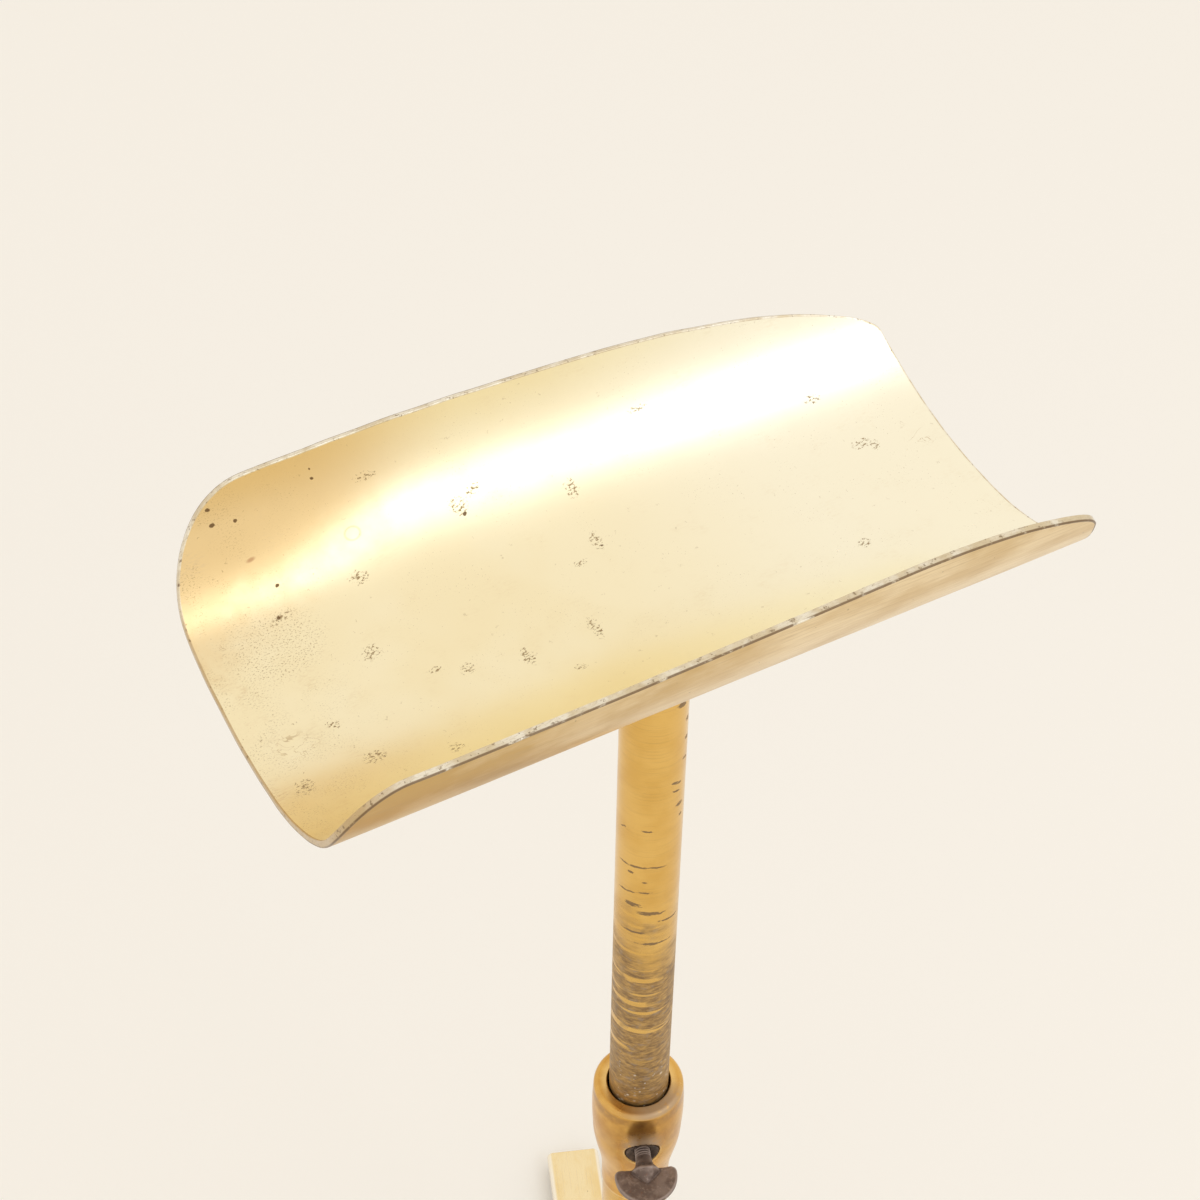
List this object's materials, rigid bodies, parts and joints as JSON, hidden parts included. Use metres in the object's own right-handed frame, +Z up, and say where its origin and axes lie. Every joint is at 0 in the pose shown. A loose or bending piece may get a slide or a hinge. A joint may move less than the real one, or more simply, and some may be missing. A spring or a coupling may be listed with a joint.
{
  "type": "music stand",
  "caption": "Brass stand with a long curved trough on a telescopic post, locked by a thumb screw and carried on a low splayed base.",
  "frame": {"origin": "the point on the floor under the post's axis", "axes": "+Z up the post; X along the trough at rest; the thumb screw points towards -Y and a little -X"},
  "size_m": [0.304, 0.3215, 0.6665],
  "materials": {
    "gilt_sheet": "pale gilt, satin, worn and pitted",
    "tube_brass": "lacquered brass, ring-scratched and tarnished",
    "cast_brass": "polished casting with brown patina in the hollows",
    "leg_brass": "polished bar, rubbed edges",
    "bush_brass": "turned, unpolished",
    "dark_iron": "forged, dark brown patina",
    "screw_steel": "turned, dull",
    "guide_leather": "oiled hide",
    "foot_leather": "worn hide",
    "cork": "pressed cork",
    "plug_wood": "turned hardwood"
  },
  "bodies": {
    "base": {"outer_tube": "tube_brass", "bottom_plug": "plug_wood", "buffer_cork": "cork", "hub": "cast_brass", "hub_nut": "cast_brass", "leg_1": "leg_brass", "leg_2": "leg_brass", "leg_3": "leg_brass", "leg_screws": "screw_steel", "foot_pad_1": "foot_leather", "foot_pad_2": "foot_leather", "foot_pad_3": "foot_leather", "collar": "cast_brass", "screw_bush": "dark_iron"},
    "carriage": {"guide_plug": "bush_brass", "guide_leather": "guide_leather"},
    "post": {"tray": "gilt_sheet", "tray_saddle": "cast_brass", "seat_washer": "bush_brass", "top_bush": "bush_brass", "inner_tube": "tube_brass", "end_bush": "bush_brass", "plug_screw": "screw_steel"},
    "pad": {"clamp_pad": "bush_brass"},
    "screw": {"thumb_screw": "dark_iron"}
  },
  "joints": [
    {"name": "height_slide", "type": "slide", "parent": "base", "child": "carriage", "axis": [0, 0, 1], "range_m": [-0.1, 0.12]},
    {"name": "post_swivel", "type": "hinge", "parent": "carriage", "child": "post", "pos_m": [0, 0, 0.1967], "axis": [0, 0, 1], "continuous": true},
    {"name": "pad_press", "type": "slide", "parent": "base", "child": "pad", "axis": [-0.3746, -0.9272, 0], "range_m": [0, 0.0016]},
    {"name": "screw_turn", "type": "hinge", "parent": "pad", "child": "screw", "pos_m": [0, 0, 0.325], "axis": [-0.3746, -0.9272, 0], "range_deg": [0, 540]}
  ],
  "couplings": [
    {"joint": "pad_press", "follows": "screw_turn", "m_per_rad": 0.00015915}
  ]
}
